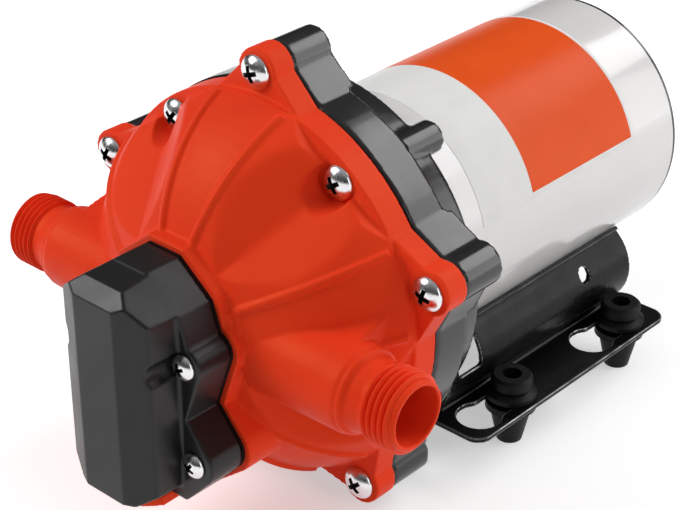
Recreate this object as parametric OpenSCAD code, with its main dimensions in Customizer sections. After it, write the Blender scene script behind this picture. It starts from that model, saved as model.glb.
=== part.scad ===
// Five-chamber diaphragm water pump with a pressure switch and a base on rubber feet.
// Millimetres, +Z up, the motor towards +Y, the outlet towards +X.
// The origin lies on the floor, at the centre of the four foot holes.
// Pieces on the pump axis are drawn in their own frame: x to the right, y up and z to the front,
// with z = 0 at the plane where the head meets the drive housing.

/* [Pump head] */
// Radius of the head's rim at the parting plane
rim_r = 54; // [53:0.5:56]
// Radius of the circle of the five lug screws
lug_circle_r = 60; // [59:0.5:62]
// Radius of a lug's round end
lug_r = 6.3; // [6:0.1:7]
// Height of a lug above the parting plane
lug_h = 7.3; // [6.5:0.1:8]
// Half angle at which a lug's web meets the rim
lug_web_angle = 15; // [12:0.5:17]
// Radius of the circle of the inner screws
inner_circle_r = 48.6; // [48:0.1:49.4]
// Height of the flange that the inner screws clamp
flange_h = 8.2; // [7.6:0.1:9]
// Radius of the dome's arc
dome_arc_r = 47.4; // [46.4:0.2:49]
// Distance from the pump axis to the centre of the dome's arc
dome_arc_x = 9.7; // [9:0.1:10.5]
// Distance from the pump axis to the foot of a valley between two chambers
valley_chord = 50.4; // [50:0.1:51]
// Distance from the pump axis to the top of a valley
valley_top_r = 24; // [23:0.2:26]
// Slope of a valley's two facets towards its middle
facet_tilt = 16; // [10:0.5:18]
// Half angle between the two ribs of a chamber
rib_angle = 12; // [11:0.5:13]
// Radius of a rib's round section
rib_r = 1.1; // [0.8:0.1:1.3]
// Wall of the head, measured across a valley's floor
head_wall = 3.2; // [2.8:0.1:3.6]
// Radius of the hollow under the dome
cavity_r = 31.5; // [30:0.5:32]
// Room in the outlet chamber round its valve
outlet_chamber_gap = 0.6; // [0.4:0.1:1]
// Wall round the outlet chamber
outlet_chamber_wall = 3; // [2.5:0.1:3.5]

/* [Ports] */
// Distance from the pump axis to a port's end
port_reach = 70.2; // [68:0.2:74]
// Height of the port axis above the parting plane
port_z = 26.1; // [25.5:0.1:26.5]
// Drop of the port axis below the pump axis
port_drop = 2; // [1:0.1:3]
// Outer radius of the port's thread
port_thread_r = 10.4; // [10:0.05:10.6]
// Length of the port's thread
port_thread_len = 11; // [10:0.5:12]
// Radius of a port's bore
port_bore_r = 7.9; // [7.2:0.1:8.2]
// Radius of the tube where it leaves the dome
port_root_r = 12.4; // [11.6:0.1:13]

/* [Pressure switch] */
// Height of the switch pad above the parting plane
pad_z = 40.5; // [40:0.1:41.5]
// Depth of the switch cover, from its seat to its front
cover_depth = 24; // [23.4:0.2:26]
// Depth of the cover's screw ears
ear_depth = 11; // [10:0.2:12]
// Wall of the switch cover
cover_wall = 2; // [1.6:0.1:2.4]
// Thickness of the cover's gasket
gasket_t = 0.8; // [0.6:0.1:1.2]
// How far the head's pad stands out round the cover
pad_margin = 1.6; // [1:0.1:2]
// Travel of the switch plunger
plunger_travel = 1.2; // [1:0.1:1.4]
// Thickness of the switch diaphragm
switch_diaphragm_t = 2; // [1.6:0.1:2.2]
// Outer radius of the switch diaphragm
switch_diaphragm_r = 11.9; // [11:0.1:12.2]

/* [Drive] */
// Radius of the drive housing's front ring
ring_r = 54.4; // [53.5:0.1:56]
// Length of the drive housing's front ring
ring_len = 12.4; // [11:0.2:13]
// Radius of the drive housing's shoulder behind its front ring
shoulder_r = 51.6; // [50.5:0.1:52.5]
// Length of the drive housing's shoulder
shoulder_len = 9; // [7:0.2:10]
// Wall of the drive housing's shoulder
shoulder_wall = 3; // [2.4:0.1:3.6]
// Radius of the drive housing's rear ring
collar_r = 39.3; // [38.9:0.1:40.3]
// Depth of the room for the wobble plate
drive_depth = 22; // [22:0.2:24]
// Thickness of the drive housing's rear wall
drive_wall = 3; // [2.6:0.1:3.6]
// How far the motor sits in the drive housing
socket_depth = 5.7; // [5:0.1:7]
// Thickness of the valve plate
valve_plate_t = 7; // [6.8:0.1:7.4]
// Radius of the valve plate and the diaphragm
valve_plate_r = 38.5; // [38:0.1:39]
// Thickness of the pump diaphragm
diaphragm_t = 2; // [1.9:0.05:2.2]
// Distance from the pump axis to a chamber's centre
chamber_circle_r = 24; // [23.5:0.1:24.5]
// Radius of a pump chamber
chamber_r = 11; // [10.8:0.1:11.4]
// Depth of a pump chamber
chamber_depth = 4.2; // [4.1:0.1:4.6]
// Radius of a piston
piston_r = 8.5; // [8:0.1:8.8]
// Tilt of the cam's journal, which sets the stroke
cam_tilt = 3; // [2:0.1:3.1]
// Bore of the cam bearing's inner ring
cam_bearing_bore = 15; // [14:0.5:15]
// Outer diameter of the cam bearing
cam_bearing_od = 28; // [28:0.5:30]
// Width of the cam bearing
cam_bearing_w = 7; // [6.5:0.1:7.2]

/* [Motor] */
// Outer radius of the motor can
can_r = 36.8; // [36.4:0.1:37.2]
// Wall of the motor can
can_wall = 1.8; // [1.4:0.1:2]
// Length of the motor can
can_len = 106.6; // [104:0.2:125]
// Radius of the motor shaft
shaft_r = 4; // [3.5:0.1:4]
// Radius of the armature's laminations
armature_r = 27.8; // [26.5:0.1:28.5]
// Length of the armature's laminations
armature_len = 52; // [44:0.5:52]
// Radius of the commutator
commutator_r = 11.5; // [10.5:0.1:11.8]
// Length of the commutator
commutator_len = 13; // [12:0.1:14]
// Travel of a brush in its box
brush_travel = 2; // [1:0.1:3]

/* [Base] */
// Height of the pump axis above the floor
axis_h = 61.5; // [61.5:0.5:66]
// Distance from the parting plane to the middle of the feet
foot_setback = 77.9; // [76:0.1:80]
// Distance between the left and right feet
foot_span_x = 81.2; // [80.6:0.2:83]
// Distance between the front and rear feet
foot_span_y = 53.2; // [50:0.2:54]
// Thickness of the bracket's sheet
sheet_t = 1.5; // [1.2:0.1:1.8]
// Height of the flange's upper face above the floor
flange_top = 14.5; // [14:0.1:15]
// Length of the bracket's flange
flange_len = 91.4; // [90:0.2:96]
// Radius of the hole in a foot
foot_hole_r = 2.8; // [2.4:0.1:3]
// Height of a foot
foot_h = 21.5; // [21:0.1:22.5]

/* [Fasteners] */
// Shank radius of the lug screws and the inner screws
screw_r = 2.5; // [2:0.1:2.5]
// Head radius of the lug screws and the inner screws
screw_head_r = 4.7; // [4.4:0.1:4.9]
// Head height of the lug screws and the inner screws
screw_head_h = 2.8; // [2.4:0.1:3.2]
// Shank radius of the cover screws
cover_screw_r = 2; // [1.6:0.1:2]
// Head radius of the cover screws
cover_screw_head_r = 3.6; // [3.2:0.1:3.8]

/* [Clearances] */
// Radial gap of a pressed or threaded piece
press_gap = 0.03; // [0.02:0.01:0.05]
// Radial gap of a piece that is laid in its seat
seat_gap = 0.2; // [0.1:0.05:0.3]
// Gap between pieces that move past each other
run_gap = 0.4; // [0.3:0.05:0.5]

/* [Hidden] */
$fn = 64;

// Colours, as the photograph shows them
orange = [0.91, 0.29, 0.14];
black = [0.14, 0.13, 0.13];
rubber = [0.1, 0.1, 0.1];
white = [0.87, 0.86, 0.85];
steel = [0.75, 0.76, 0.78];
copper = [0.72, 0.42, 0.22];
brass = [0.78, 0.62, 0.3];
iron = [0.35, 0.35, 0.37];
carbon = [0.18, 0.18, 0.2];
resin = [0.55, 0.33, 0.2];

// How far a cut runs past the face that it opens
cut = 1;
// How far a screw's tip stays off the bottom of its hole
tip_gap = 1;
// How much flatter than a part of a sphere on its rim a screw's crown is
crown_flatness = 1.25;
// Head height of the cover screws and the bracket screws
cover_screw_head_h = 2.4;

// Chambers, lugs and inner screws round the pump axis
chamber_count = 5;
chamber_step = 360 / chamber_count;
chamber_angles = [for (i = [0 : chamber_count - 1]) 90 + chamber_step * i];
valley_angles = [for (angle = chamber_angles) angle + chamber_step / 2];
inner_angles = [54, 126, 270];

// Dome
rim_lip = 0.4;
dome_arc_z = flange_h + rim_lip - sqrt(pow(dome_arc_r, 2) - pow(rim_r - dome_arc_x, 2));
bulge_h = 40;
valley_half = 32;
valley_reach = 50;
screw_room = 1.2;
seat_ring_r = 24.5;
seat_ring_rise = 1.2;
seat_ring_step = 1.9;
rib_rim_gap = 0.6;
dome_chords = 12;
seal_land = 1;

// Ports
port_foot_x = 24;
port_draft = 0.6;
port_neck_len = 4.5;
port_ring_len = 2;
port_tube_end = port_reach - port_thread_len - port_neck_len - port_ring_len;
port_ring_step = 0.9;
port_neck_step = 0.2;
port_ring_r = port_thread_r + port_ring_step;
port_neck_r = port_thread_r - port_neck_step;
port_chamfer = 0.8;
port_web_end = 50;
port_web_spread = 4;
duct_wall = 2.6;
outlet_duct_r = port_bore_r + duct_wall;

// Switch
cover_z = pad_z + gasket_t;
cover_front = cover_z + cover_depth;
ear_front = cover_z + ear_depth;
upper_ear = [17.8, 1.9];
lower_ear = [19.9, -26.4];
upper_ear_r = 5.1;
lower_ear_r = 6.1;
upper_ear_turn = [75, -12];
lower_ear_turn = [50, -50];
cover_top = 23.6;
cover_top_half = 5.5;
shoulder = [16.2, 15.2];
waist = [17.4, -14.4];
cover_bottom = -39.3;
face_half = 7;
face_top = 18.5;
face_slope = 4;
body_half = 15.5;
chin = [8.5, -34.2];
shelf_half = 10.5;
shelf_t = 3;
shelf_inset = 2;
cover_draft = 1;
cover_flank = 4.2;
channel_room = 0.4;
channel_r = cover_screw_head_r + channel_room;
cover_screw_hole = 6;
switch_bore_r = 4;
clamp_t = 1;
counterbore_depth = switch_diaphragm_t + clamp_t;
frame_t = 2;
frame_setback = 2.2;
frame_top = shoulder.y - frame_setback;
frame_bottom = -26;
leg_w = 2.4;
leg_half = 4;
spring_len = 8.7;
plunger_r = 7.6;
plunger_t = 2;
plunger_gap = 1;
leg_x = plunger_r + plunger_gap;
frame_edge = 0.2;
frame_half = leg_x + leg_w + frame_edge;
stem_r = 2.4;
stem_over = 0.1;
plunger_z = pad_z - counterbore_depth + switch_diaphragm_t;
spring_z = plunger_z + plunger_t;
bridge_z = spring_z + spring_len;
switch_z = bridge_z + frame_t;
switch_size = [6.4, 20, 10];
switch_offset = -4;
terminal = [3.2, 4, 0.6];
terminal_rises = [2, 5, 8];
button_r = 1.2;
button_len = 3.6;
button_z = bridge_z + stem_over + run_gap;
button_end_gap = 0.5;
button_hole = plunger_travel + button_len + button_end_gap;
spring_steps = 8;
spring_mean_r = 4.6;
spring_wire_r = 0.45;
spring_turns = 5;

// Drive, from the parting plane to the rear
stud_r = 4.55;
stud_end = -26.9;
stud_floor = 2;
stud_web_setback = 3;
stud_web_overlap = 2;
lug_step = 0.3;
lug_skirt = 2;
shoulder_draft = 1;
housing_face_t = 6;
lug_rear = -ring_len - lug_skirt;
ledge_w = 3.3;
drive_room_r = valve_plate_r - ledge_w;
wall_front = -drive_depth;
wall_rear = wall_front - drive_wall;
collar_end = wall_rear - socket_depth;
cam_hole_r = 12.5;
boss_r = 6;
boss_h = 5;
arm_w = 9;
arm_t = 4;
hub_wall = 3;
hub_front = -diaphragm_t - boss_h;
hub_floor = 2;
bearing_front = hub_front - hub_floor;
bearing_rear = bearing_front - cam_bearing_w;
pivot_z = (bearing_front + bearing_rear) / 2;
race_t = 1.8;
ball_gap = 0.1;
ball_count = 7;
cam_ball_count = 10;
journal_r = cam_bearing_bore / 2;
cam_collar_r = 9;
cam_flange_t = 2;
cam_tail = 6.5;
cam_rear = bearing_rear - cam_tail;
cam_screw_setback = 4;
cam_screw_z = bearing_rear - cam_screw_setback;
cam_screw_r = 1.5;
cam_screw_sink = 0.4;
shaft_setback = 2;
shaft_front = bearing_front - shaft_setback;
piston_t = 1.2;
piston_skin = 0.8;
web_step = 0.8;
web_lap = 0.4;
web_hole_r = piston_r + web_step;
web_button_r = web_hole_r + web_lap;
stem_hole_r = 4;
piston_screw_r = 1.5;
piston_screw_head = [2.8, 1.8];
valve_disc_t = 1;
inlet_disc_r = 5;
inlet_stem_r = 1.5;
inlet_hole_r = 1.1;
inlet_hole_circle = 3.1;
inlet_offset = 2;
inlet_circle_r = chamber_circle_r + inlet_offset;
outlet_hole_r = 1.2;
outlet_hole_edge = 0.4;
outlet_hole_circle = chamber_circle_r - chamber_r + outlet_hole_r + outlet_hole_edge;
outlet_stem_r = 2;
valve_lap = 0.6;
outlet_valve_r = outlet_hole_circle + outlet_hole_r + valve_lap;
outlet_chamber_r = outlet_valve_r + outlet_chamber_gap;
valve_bead = 0.8;
valve_bead_h = 1.4;
seal_w = 2.4;
seal_t = 2;

// Motor, from the front to the rear
can_front = wall_rear;
can_rear = can_front - can_len;
bore_r = can_r - can_wall;
front_plate_t = 4;
bearing_w = 7;
bearing_r = 11;
bearing_boss_wall = 2.2;
bearing_boss_r = bearing_r + bearing_boss_wall;
front_bearing_front = can_front - front_plate_t;
front_bearing_rear = front_bearing_front - bearing_w;
cap_t = 1;
cap_web_t = 3;
rear_bearing_floor = 0.6;
rear_bearing_rear = can_rear + rear_bearing_floor;
rear_bearing_front = rear_bearing_rear + bearing_w;
commutator_gap = 2;
commutator_rear = rear_bearing_front + commutator_gap;
commutator_front = commutator_rear + commutator_len;
winding_over = 7;
winding_gap = 3;
core_rear = commutator_front + winding_over + winding_gap;
core_front = core_rear + armature_len;
magnet_t = 5.3;
magnet_over = 3;
magnet_half_angle = 62;
slot_count = 12;
slot_r = 3;
slot_mouth = 2.4;
tooth_tip = 2;
winding_inset = 4.5;
brush_w = 6;
brush_axial = 7;
brush_len = 12;
brush_z = (commutator_front + commutator_rear) / 2;
brush_tip = commutator_r + run_gap;
brush_back = sqrt(pow(brush_tip, 2) - pow(brush_w / 2, 2)) + brush_len;
brush_box_wall = 1.6;
brush_box_gap = 2;
brush_box_inner = commutator_r + brush_box_gap;
brush_spring_solid = 7;
brush_spring_len = brush_travel + brush_spring_solid;
brush_spring_r = 2.2;
brush_spring_wire = 0.35;
brush_spring_turns = 6;
brush_box_outer = brush_back + brush_spring_len + brush_box_wall;
card_t = 2;
card_front = brush_z - brush_axial / 2 - run_gap - brush_box_wall;
card_hole_gap = 2.5;
card_hole_r = commutator_r + card_hole_gap;
post_r = 2.5;
post_circle_r = 30;
plate_screw_angles = [45 : 90 : 315];
plate_screw_circle = 29;
plate_screw_r = 2;
plate_screw_head = [3.5, 2.2];
plate_screw_len = 6;
lead_y = -27;
lead_hole_r = 5;
lead_bore_r = 2;
lead_lip = 1.8;
lead_lip_t = 1.4;

// Base
roll_r = 14.3;
roll_x = 20.1;
roll_rise = 9.85;
roll_z = flange_top + roll_rise;
flange_bottom = flange_top - sheet_t;
flange_margin = 8.7;
flange_outer = foot_span_x / 2 + flange_margin;
roll_top_angle = 75;
roll_low_angle = -46;
flange_lap = 0.5;
flange_inner = roll_x + roll_r * cos(roll_low_angle) - flange_lap;
flange_mid_y = -5.9;
flange_corner = 5;
saddle_gap = 0.05;
saddle_over = 2;
saddle_r = can_r + saddle_gap + sheet_t / 2;
roll_distance = norm([roll_x, axis_h - roll_z]);
saddle_half_angle = saddle_over + atan2(roll_x, axis_h - roll_z)
    + acos((pow(roll_distance, 2) + pow(saddle_r, 2) - pow(roll_r, 2)) / (2 * roll_distance * saddle_r));
key_r = 6.4;
key_offset = 14.5;
groove_r = 4.6;
groove_gap = 0.1;
foot_shoulder_r = 7.35;
foot_top_r = 6;
foot_neck_r = 5.2;
foot_base_r = 3.7;
foot_lip = 2;
foot_bevel = 0.6;
foot_step = 1.4;
foot_chamfer = 0.8;
window_w = 10;
window_h = 9;
window_rise = 10;
window_from_front = 4.3;
eyelet_r = 2.2;
eyelet_rise = 16.5;
eyelet_y = 18;
bracket_screw_len = 4;
bracket_screw_y = [-24, 22];

// Height of the dome's surface at a radius, or of a surface this far outside it
function dome_z(radius, out = 0) = dome_arc_z + sqrt(pow(dome_arc_r + out, 2) - pow(radius - dome_arc_x, 2));

// Fall of a valley's floor from its top to the flange, and the floor's height at a radius
valley_drop = atan2(dome_z(valley_top_r) - flange_h, valley_chord - valley_top_r);
function valley_z(radius) = flange_h + (valley_chord - radius) * tan(valley_drop);

// Centre line of a helical spring that stands on z = 0
function spring_line(mean_r, wire_r, length, turns) =
    [for (i = [0 : turns * spring_steps])
        [mean_r * cos(360 * i / spring_steps), mean_r * sin(360 * i / spring_steps),
         wire_r + (length - 2 * wire_r) * i / (turns * spring_steps)]];

// Least gap of a helical spring to itself, measured between points half a turn or more apart
function spring_gap(line, wire_r) =
    min([for (i = [0 : len(line) - 1 - spring_steps / 2], j = [i + spring_steps / 2 : len(line) - 1])
        norm(line[i] - line[j])]) - 2 * wire_r;

// Puts a piece of the pump axis in its place
module on_axis() {
    translate([0, -foot_setback, axis_h]) rotate([90, 0, 0]) children();
}

// Tilts a piece with the cam's journal about the bearing's centre
module on_journal() {
    translate([0, 0, pivot_z]) rotate([cam_tilt, 0, 0]) translate([0, 0, -pivot_z]) children();
}

// Repeats a piece at angles round the pump axis
module around(angles, radius) {
    for (angle = angles) rotate(angle) translate([radius, 0, 0]) children();
}

// Cylinder between two heights
module rod(radius, low, high) {
    translate([0, 0, low]) cylinder(r = radius, h = high - low);
}

// Tube between two heights
module tube(outer, inner, low, high) {
    difference() {
        rod(outer, low, high);
        rod(inner, low - cut, high + cut);
    }
}

// Screw with a domed head: its seat is at z = 0 and its shank points down
module pan_screw(shank_r, length, head_r, head_h) {
    crown_r = crown_flatness * (pow(head_r, 2) + pow(head_h, 2)) / (2 * head_h);
    intersection() {
        rod(head_r, 0, head_h);
        translate([0, 0, head_h - crown_r]) sphere(r = crown_r);
    }
    rod(shank_r, -length, 0);
}

// One tube of six-sided section along a helix
module coil(mean_r, wire_r, length, turns) {
    sides = 6;
    side_step = 360 / sides;
    line = spring_line(mean_r, wire_r, length, turns);
    count = len(line);
    echo(spring_gap = spring_gap(line, wire_r));
    points = [for (i = [0 : count - 1], k = [0 : sides - 1])
        let (turn = 360 * i / spring_steps, out = wire_r * cos(side_step * k),
            up = wire_r * sin(side_step * k))
        line[i] + [out * cos(turn), out * sin(turn), up]];
    walls = [for (i = [0 : count - 2], k = [0 : sides - 1])
        let (a = i * sides + k, b = i * sides + (k + 1) % sides)
        each [[a, a + sides, b], [b, a + sides, b + sides]]];
    start = [for (k = [1 : sides - 2]) [0, k, k + 1]];
    finish = [for (k = [1 : sides - 2], last = (count - 1) * sides) [last, last + k + 1, last + k]];
    polyhedron(points, concat(walls, start, finish));
}

// Ball bearing pieces between two heights
module race_outer(outer, low, high) {
    tube(outer, outer - race_t, low, high);
}

module race_inner(inner, low, high) {
    tube(inner + race_t, inner, low, high);
}

module race_balls(outer, inner, low, high, count) {
    ball_r = (outer - inner) / 2 - race_t - ball_gap;
    around([for (i = [0 : count - 1]) 360 * i / count], (outer + inner) / 2)
        translate([0, 0, (low + high) / 2]) sphere(r = ball_r, $fn = 24);
}

// Lugs with their webs, between two heights
module lugs(radius, rim, low, high) {
    around(chamber_angles, lug_circle_r) rod(radius, low, high);
    for (angle = chamber_angles) rotate(angle) translate([0, 0, low]) linear_extrude(high - low)
        polygon([[lug_circle_r, radius], [rim * cos(lug_web_angle), rim * sin(lug_web_angle)],
            [rim * cos(lug_web_angle), -rim * sin(lug_web_angle)], [lug_circle_r, -radius]]);
}

// Points of the dome's arc from one radius in to another, this far outside the dome's surface
function dome_arc(out, from_r, to_r) =
    let (radius = dome_arc_r + out, start = acos((from_r - dome_arc_x) / radius),
        finish = acos((to_r - dome_arc_x) / radius))
    [for (i = [0 : dome_chords])
        let (turn = start + (finish - start) * i / dome_chords)
        [dome_arc_x + radius * cos(turn), dome_arc_z + radius * sin(turn)]];

// Revolved dome with a flat top of radius top_r, this far outside the dome's surface
module dome(out, radius, low, top_r) {
    rotate_extrude($fn = 128)
        polygon(concat([[0, low], [radius, low]], dome_arc(out, radius, top_r), [[0, dome_z(top_r, out)]]));
}

// Round ribs that run over the dome on both sides of each chamber
module ribs() {
    outer = acos((rim_r - rib_rim_gap - dome_arc_x) / dome_arc_r);
    inner = acos((seat_ring_r - dome_arc_x) / dome_arc_r);
    for (angle = chamber_angles, side = [-1, 1])
        rotate(angle + side * rib_angle) translate([dome_arc_x, 0, dome_arc_z]) rotate([90, 0, 0])
            rotate(outer) rotate_extrude(angle = inner - outer)
                translate([dome_arc_r, 0]) circle(r = rib_r, $fn = 24);
}

// Ten-sided ring on which the ribs end
module seat_ring(radius, top) {
    linear_extrude(top) polygon([for (angle = chamber_angles, side = [-1, 1])
        radius * [cos(angle + side * rib_angle), sin(angle + side * rib_angle)]]);
}

// Points along an arc, from one angle to another
function arc(centre, radius, from, to, steps = 8) =
    [for (i = [0 : steps])
        let (turn = from + (to - from) * i / steps)
        centre + radius * [cos(turn), sin(turn)]];

// The left half of an outline, from its right half
function mirrored(points) =
    [for (i = [len(points) - 1 : -1 : 0]) [-points[i].x, points[i].y]];

// Outline of the switch cover's foot, grown by a margin
module cover_outline(margin) {
    half = concat(
        [[cover_top_half + margin / 2, cover_top + margin], shoulder + [margin, margin / 2]],
        arc(upper_ear, upper_ear_r + margin, upper_ear_turn[0], upper_ear_turn[1]),
        [waist + [margin, 0]],
        arc(lower_ear, lower_ear_r + margin, lower_ear_turn[0], lower_ear_turn[1]),
        [[shoulder.x, cover_bottom]]);
    polygon(concat(half, mirrored(half)));
}

// Faceted body of the switch cover, drawn in by one inset at its ends and one at its sides
module cover_body(inset, side_inset) {
    front = cover_front - inset;
    depth = cover_depth - inset;
    top = cover_top - inset;
    side = shoulder.x - side_inset;
    flank = body_half - side_inset;
    bottom = cover_bottom + inset;
    reach = 2 * bulge_h;
    intersection() {
        translate([0, 0, cover_z]) linear_extrude(depth)
            polygon([[-cover_top_half, top], [cover_top_half, top], [side, shoulder.y - inset / 2],
                [flank, chin.y], [chin.x, bottom], [-chin.x, bottom], [-flank, chin.y],
                [-side, shoulder.y - inset / 2]]);
        rotate([90, 0, 0]) linear_extrude(reach, center = true)
            polygon([[-side, cover_z], [side, cover_z], [flank, front - face_slope], [face_half, front],
                [-face_half, front], [-flank, front - face_slope]]);
        rotate([90, 0, 90]) linear_extrude(reach, center = true)
            polygon([[bottom, cover_z], [top, cover_z], [top - cover_draft, front - face_slope],
                [face_top, front], [bottom + cover_draft, front]]);
    }
}

// Places a piece at each of the four cover screws
module at_cover_screws(height) {
    for (side = [-1, 1], ear = [upper_ear, lower_ear]) translate([side * ear.x, ear.y, height]) children();
}

// Outside of one port, from the dome to its end
module port_body() {
    rotate_extrude() polygon([[0, port_foot_x], [port_root_r, port_foot_x],
        [port_root_r - port_draft, port_tube_end],
        [port_ring_r, port_tube_end], [port_ring_r, port_tube_end + port_ring_len],
        [port_neck_r, port_tube_end + port_ring_len], [port_neck_r, port_reach - port_thread_len],
        [port_thread_r, port_reach - port_thread_len], [port_thread_r, port_reach - port_chamfer],
        [port_thread_r - port_chamfer, port_reach], [0, port_reach]]);
}

// Turns a piece that is drawn along z to a port's axis, on the right with side 1 and on the left with -1
module at_port(side) {
    translate([0, -port_drop, port_z]) rotate([0, 90 * side, 0]) children();
}

// Web that carries the right port's tube on the flange
module port_web() {
    half = port_root_r - port_draft;
    translate([port_foot_x, -port_drop, 0]) rotate([90, 0, 90]) linear_extrude(port_web_end - port_foot_x)
        polygon([[-half, port_z], [-half - port_web_spread, lug_h],
            [half + port_web_spread, lug_h], [half, port_z]]);
}

// Hollow under the dome: the inlet space round the outlet chamber, and the chamber itself
module head_hollow() {
    low = valve_plate_t - seat_gap;
    top = pad_z - counterbore_depth - head_wall;
    roof = head_wall / cos(valley_drop);
    difference() {
        rotate_extrude() polygon([[0, low], [cavity_r, low], [cavity_r, valley_z(cavity_r) - roof],
            [valley_chord - (top + roof - flange_h) / tan(valley_drop), top], [0, top]]);
        tube(outlet_chamber_r + outlet_chamber_wall, outlet_chamber_r, 0, bulge_h);
        at_port(1) rod(outlet_duct_r, outlet_chamber_r, cavity_r + head_wall);
    }
}

// Straight valley between two chambers: a facet on each side, and the wall that stands on the flange
module valley() {
    rise = valley_half * tan(facet_tilt);
    translate([valley_chord, 0, flange_h]) rotate([0, valley_drop, 0]) translate([-valley_reach, 0, 0])
        rotate([90, 0, 90]) linear_extrude(valley_reach)
            polygon([[0, 0], [valley_half, rise], [valley_half, valley_reach], [-valley_half, valley_reach],
                [-valley_half, rise]]);
    translate([valley_chord, -valley_half, flange_h]) cube([valley_reach, 2 * valley_half, valley_reach]);
}

module head_shell() {
    difference() {
        dome(0, rim_r, 0, seat_ring_r - seat_ring_step);
        for (angle = valley_angles) rotate(angle) valley();
    }
    lugs(lug_r, rim_r, 0, lug_h);
    ribs();
    seat_ring(seat_ring_r, dome_z(seat_ring_r) + seat_ring_rise);
    seat_ring(seat_ring_r - seat_ring_step, dome_z(seat_ring_r) + 2 * seat_ring_rise);
    translate([0, 0, lug_h]) linear_extrude(pad_z - lug_h) cover_outline(pad_margin);
    for (side = [-1, 1]) at_port(side) port_body();
    for (side = [0, 1]) mirror([side, 0]) port_web();
    translate([0, cover_bottom - shelf_t, pad_z - shelf_t]) rotate([-90, 0, 0]) linear_extrude(shelf_t)
        polygon([[-shelf_half, 0], [shelf_half, 0], [shelf_half, face_slope - cover_depth + shelf_inset],
            [face_half, -cover_depth + shelf_inset], [-face_half, -cover_depth + shelf_inset],
            [-shelf_half, face_slope - cover_depth + shelf_inset]]);
}

module pump_head() {
    color(orange) on_axis() difference() {
        head_shell();
        rod(valve_plate_r + seat_gap, -cut, valve_plate_t);
        head_hollow();
        tube(cavity_r + seal_land + seal_w + seat_gap, cavity_r + seal_land, valve_plate_t - cut,
            valve_plate_t + seal_t);
        at_port(1) rod(port_bore_r, 0, port_reach + cut);
        at_port(-1) rod(port_bore_r, outlet_chamber_r + outlet_chamber_wall + cut, port_reach + cut);
        rod(switch_bore_r, flange_h, pad_z + cut);
        rod(switch_diaphragm_r + seat_gap, pad_z - counterbore_depth, pad_z + cut);
        around(chamber_angles, lug_circle_r) {
            rod(screw_r + press_gap, -cut, lug_h + cut);
            rod(screw_head_r + seat_gap, lug_h, bulge_h);
        }
        around(inner_angles, inner_circle_r) {
            rod(screw_r + press_gap, -cut, flange_h + cut);
            rod(screw_head_r + screw_room, flange_h, bulge_h);
        }
        at_cover_screws(0) rod(cover_screw_r + press_gap, pad_z - cover_screw_hole, pad_z + cut);
    }
}

module head_screws() {
    color(steel) on_axis() around(chamber_angles, lug_circle_r) translate([0, 0, lug_h])
        pan_screw(screw_r, lug_h + ring_len - tip_gap, screw_head_r, screw_head_h);
}

module inner_screws() {
    color(steel) on_axis() around(inner_angles, inner_circle_r) translate([0, 0, flange_h])
        pan_screw(screw_r, flange_h - stud_end - stud_floor - tip_gap, screw_head_r, screw_head_h);
}

// Places a piece at each hole round an inlet valve's stem
module at_inlet_holes() {
    around(chamber_angles, inlet_circle_r) for (turn = [45 : 90 : 315])
        rotate(turn) translate([inlet_hole_circle, 0, 0]) children();
}

module valve_plate() {
    color(black) on_axis() difference() {
        rod(valve_plate_r, 0, valve_plate_t);
        around(chamber_angles, chamber_circle_r) rod(chamber_r, -cut, chamber_depth);
        around(chamber_angles, inlet_circle_r) rod(inlet_stem_r + press_gap, 0, valve_plate_t + cut);
        at_inlet_holes() rod(inlet_hole_r, 0, valve_plate_t + cut);
        around(chamber_angles, outlet_hole_circle) rod(outlet_hole_r, 0, valve_plate_t + cut);
        rod(outlet_stem_r + press_gap, -cut, valve_plate_t + cut);
    }
}

module inlet_valves() {
    color(rubber) on_axis() around(chamber_angles, inlet_circle_r) {
        rod(inlet_disc_r, chamber_depth - valve_disc_t, chamber_depth);
        rod(inlet_stem_r, chamber_depth, valve_plate_t);
        rod(inlet_stem_r + valve_bead, valve_plate_t, valve_plate_t + valve_bead_h);
    }
}

module outlet_valve() {
    color(rubber) on_axis() {
        rod(outlet_valve_r, valve_plate_t, valve_plate_t + valve_disc_t);
        rod(outlet_stem_r, 0, valve_plate_t);
        translate([0, 0, valve_plate_t + valve_disc_t]) rod(outlet_stem_r + valve_bead, 0, valve_bead_h);
    }
}

module head_seal() {
    color(rubber) on_axis() tube(cavity_r + seal_land + seat_gap / 2 + seal_w,
        cavity_r + seal_land + seat_gap / 2, valve_plate_t, valve_plate_t + seal_t);
}

module outlet_seal() {
    color(rubber) on_axis() tube(outlet_chamber_r + outlet_chamber_wall + seal_w,
        outlet_chamber_r + outlet_chamber_wall + press_gap, valve_plate_t, valve_plate_t + seal_t);
}

// The web is clamped at its rim, and each chamber's button follows its piston
module diaphragm() {
    color(rubber) on_axis() difference() {
        union() {
            difference() {
                rod(valve_plate_r, -diaphragm_t, 0);
                around(chamber_angles, chamber_circle_r) rod(web_hole_r, -diaphragm_t - cut, cut);
            }
            on_journal() around(chamber_angles, chamber_circle_r) rod(web_button_r, -diaphragm_t, 0);
        }
        on_journal() around(chamber_angles, chamber_circle_r)
            rod(stem_hole_r + press_gap, -2 * diaphragm_t, diaphragm_t);
    }
}

// Front ring and shoulder of the drive housing, hollow from the rear
module housing_ring() {
    shoulder_end = -ring_len - shoulder_len;
    difference() {
        union() {
            rod(ring_r, -ring_len, 0);
            translate([0, 0, shoulder_end])
                cylinder(r1 = shoulder_r - shoulder_draft, r2 = shoulder_r, h = shoulder_len);
        }
        tube(shoulder_r - shoulder_draft - shoulder_wall, collar_r - cut, shoulder_end - cut,
            -housing_face_t);
    }
}

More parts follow.
